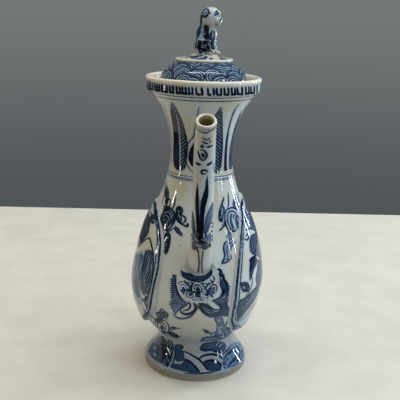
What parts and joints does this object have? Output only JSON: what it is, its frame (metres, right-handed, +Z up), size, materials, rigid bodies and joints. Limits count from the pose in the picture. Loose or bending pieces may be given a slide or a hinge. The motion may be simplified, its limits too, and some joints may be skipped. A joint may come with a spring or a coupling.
{
  "type": "covered ewer",
  "caption": "Pear-shaped covered ewer on a spreading foot, with an S-curved spout, a strap handle, raised side panels and a lift-off domed cover with a lion finial.",
  "frame": {"origin": "centre of the foot's resting plane, on the axis of the turned body", "axes": "+Z up along the axis; the spout points to -Y, the handle to +Y, the side panels face -X and +X"},
  "size_m": [0.1082, 0.1793, 0.2871],
  "materials": {
    "painted_porcelain": "glossy bluish-white glaze over cobalt painting",
    "white_glaze": "glossy bluish-white glaze",
    "relief_porcelain": "glossy glaze pooled over moulded relief",
    "cobalt_ground": "glossy glaze over a dark cobalt wash",
    "lion_porcelain": "glossy glaze over cobalt touches",
    "biscuit": "bare fired paste, matt"
  },
  "bodies": {
    "ewer": {"foot": "painted_porcelain", "body": "painted_porcelain", "neck": "painted_porcelain", "mouth_flare": "white_glaze", "mouth_rim": "painted_porcelain", "cover_seat": "white_glaze", "side_panel_left": "painted_porcelain", "side_panel_right": "painted_porcelain", "spout": "painted_porcelain", "spout_lip": "white_glaze", "spout_root_collar": "relief_porcelain", "spout_strut": "painted_porcelain", "handle": "painted_porcelain", "handle_upper_terminal": "relief_porcelain", "handle_lower_terminal": "relief_porcelain"},
    "cover": {"cover_dome": "cobalt_ground", "cover_flange": "biscuit", "cover_edge_ring": "white_glaze", "cover_cap": "cobalt_ground", "lion_body": "lion_porcelain", "lion_head": "lion_porcelain", "lion_mane": "lion_porcelain", "lion_foreleg_left": "lion_porcelain", "lion_foreleg_right": "lion_porcelain", "lion_haunch_left": "lion_porcelain", "lion_haunch_right": "lion_porcelain", "lion_tail": "lion_porcelain", "lion_ear_left": "lion_porcelain", "lion_ear_right": "lion_porcelain"}
  },
  "joints": [
    {"name": "cover_lift", "type": "slide", "parent": "ewer", "child": "cover", "axis": [0, 0, 1], "range_m": [0, 0.12]}
  ]
}
